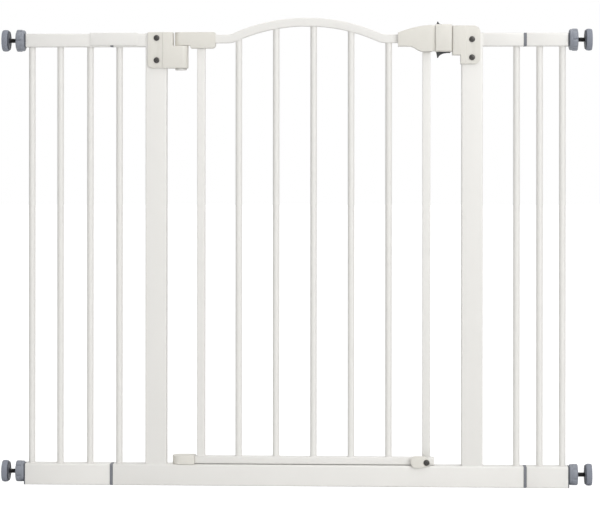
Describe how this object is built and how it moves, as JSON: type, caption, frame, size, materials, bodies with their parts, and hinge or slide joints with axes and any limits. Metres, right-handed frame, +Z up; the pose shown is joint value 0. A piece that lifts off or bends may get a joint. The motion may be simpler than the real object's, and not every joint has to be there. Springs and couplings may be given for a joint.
{
  "type": "pressure-mounted safety gate",
  "caption": "Pressure-mounted baby gate: tube frame with side extensions, wall pads on screw spindles, and an arched swinging door with a spring latch.",
  "frame": {"origin": "on the floor, under the middle of the gate's width and depth", "axes": "+X towards the latch side, +Y away from the side that the door opens to, +Z up"},
  "size_m": [0.978, 0.0366, 0.7757],
  "materials": {
    "white_steel": "white powder coat",
    "cream_plastic": "moulded, fine grain",
    "connector_grey": "moulded",
    "plug_dark": "moulded",
    "nut_blue_grey": "moulded",
    "pad_rubber": "soft, matte",
    "grip_grey": "soft touch",
    "spindle_black": "black oxide thread",
    "screw_steel": "dark plated",
    "bright_steel": "zinc plated"
  },
  "bodies": {
    "frame": {"base_rail": "white_steel", "left_post": "white_steel", "right_post": "white_steel", "left_inner_bar": "white_steel", "right_inner_bar": "white_steel", "left_extension_top_rail": "white_steel", "left_extension_bottom_rail": "white_steel", "left_extension_bar_1": "white_steel", "left_extension_bar_2": "white_steel", "left_extension_bar_3": "white_steel", "left_joint_sleeve": "white_steel", "right_extension_top_rail": "white_steel", "right_extension_bottom_rail": "white_steel", "right_extension_bar_1": "white_steel", "right_extension_bar_2": "white_steel", "left_top_connector": "connector_grey", "left_bottom_connector": "connector_grey", "right_top_connector": "connector_grey", "right_bottom_connector": "connector_grey", "left_top_end_plug": "plug_dark", "left_bottom_end_plug": "plug_dark", "right_top_end_plug": "plug_dark", "right_bottom_end_plug": "plug_dark", "hinge_bracket": "cream_plastic", "hinge_bracket_screw_upper": "screw_steel", "hinge_bracket_screw_lower": "screw_steel", "upper_hinge_pin": "bright_steel", "latch_keeper": "cream_plastic", "keeper_screw_upper": "screw_steel", "keeper_screw_lower": "screw_steel"},
    "door": {"door_top_rail": "white_steel", "door_bottom_rail": "white_steel", "hinge_stile": "white_steel", "latch_stile": "white_steel", "door_bar_1": "white_steel", "door_bar_2": "white_steel", "door_bar_3": "white_steel", "door_bar_4": "white_steel", "door_bar_5": "white_steel", "hinge_arm": "cream_plastic", "lower_hinge_shoe": "cream_plastic", "handle_front_shell": "cream_plastic", "handle_rear_shell": "cream_plastic", "latch_spring": "bright_steel"},
    "latch": {"latch_block": "cream_plastic", "latch_grip": "grip_grey"},
    "stopper": {"stopper_lever": "cream_plastic", "stopper_screw": "screw_steel"},
    "left_top_nut": {"left_top_hand_nut": "nut_blue_grey"},
    "left_top_foot": {"left_top_spindle": "spindle_black", "left_top_wall_pad": "pad_rubber"},
    "left_bottom_nut": {"left_bottom_hand_nut": "nut_blue_grey"},
    "left_bottom_foot": {"left_bottom_spindle": "spindle_black", "left_bottom_wall_pad": "pad_rubber"},
    "right_top_nut": {"right_top_hand_nut": "nut_blue_grey"},
    "right_top_foot": {"right_top_spindle": "spindle_black", "right_top_wall_pad": "pad_rubber"},
    "right_bottom_nut": {"right_bottom_hand_nut": "nut_blue_grey"},
    "right_bottom_foot": {"right_bottom_spindle": "spindle_black", "right_bottom_wall_pad": "pad_rubber"}
  },
  "joints": [
    {"name": "door_swing", "type": "hinge", "parent": "frame", "child": "door", "pos_m": [-0.191, 0, 0.4], "axis": [0, 0, 1], "range_deg": [-90, 0]},
    {"name": "latch_slide", "type": "slide", "parent": "door", "child": "latch", "axis": [-1, 0, 0], "range_m": [0, 0.0048], "stiffness_N_per_m": 400, "springref_m": -0.01, "deforming": ["latch_spring"]},
    {"name": "stopper_flip", "type": "hinge", "parent": "door", "child": "stopper", "pos_m": [0.2168, -0.0158, 0.041], "axis": [0, 1, 0], "range_deg": [0, 90]},
    {"name": "left_top_nut_turn", "type": "hinge", "parent": "frame", "child": "left_top_nut", "pos_m": [-0.46, 0, 0.7388], "axis": [-1, 0, 0], "range_deg": [-1080, 3600]},
    {"name": "left_top_foot_slide", "type": "slide", "parent": "frame", "child": "left_top_foot", "axis": [-1, 0, 0], "range_m": [-0.006, 0.02]},
    {"name": "left_bottom_nut_turn", "type": "hinge", "parent": "frame", "child": "left_bottom_nut", "pos_m": [-0.46, 0, 0.021], "axis": [-1, 0, 0], "range_deg": [-1080, 3600]},
    {"name": "left_bottom_foot_slide", "type": "slide", "parent": "frame", "child": "left_bottom_foot", "axis": [-1, 0, 0], "range_m": [-0.006, 0.02]},
    {"name": "right_top_nut_turn", "type": "hinge", "parent": "frame", "child": "right_top_nut", "pos_m": [0.46, 0, 0.7388], "axis": [1, 0, 0], "range_deg": [-1080, 3600]},
    {"name": "right_top_foot_slide", "type": "slide", "parent": "frame", "child": "right_top_foot", "axis": [1, 0, 0], "range_m": [-0.006, 0.02]},
    {"name": "right_bottom_nut_turn", "type": "hinge", "parent": "frame", "child": "right_bottom_nut", "pos_m": [0.46, 0, 0.021], "axis": [1, 0, 0], "range_deg": [-1080, 3600]},
    {"name": "right_bottom_foot_slide", "type": "slide", "parent": "frame", "child": "right_bottom_foot", "axis": [1, 0, 0], "range_m": [-0.006, 0.02]}
  ],
  "couplings": [
    {"joint": "left_top_foot_slide", "follows": "left_top_nut_turn", "m_per_rad": 0.00031831},
    {"joint": "left_bottom_foot_slide", "follows": "left_bottom_nut_turn", "m_per_rad": 0.00031831},
    {"joint": "right_top_foot_slide", "follows": "right_top_nut_turn", "m_per_rad": 0.00031831},
    {"joint": "right_bottom_foot_slide", "follows": "right_bottom_nut_turn", "m_per_rad": 0.00031831}
  ]
}
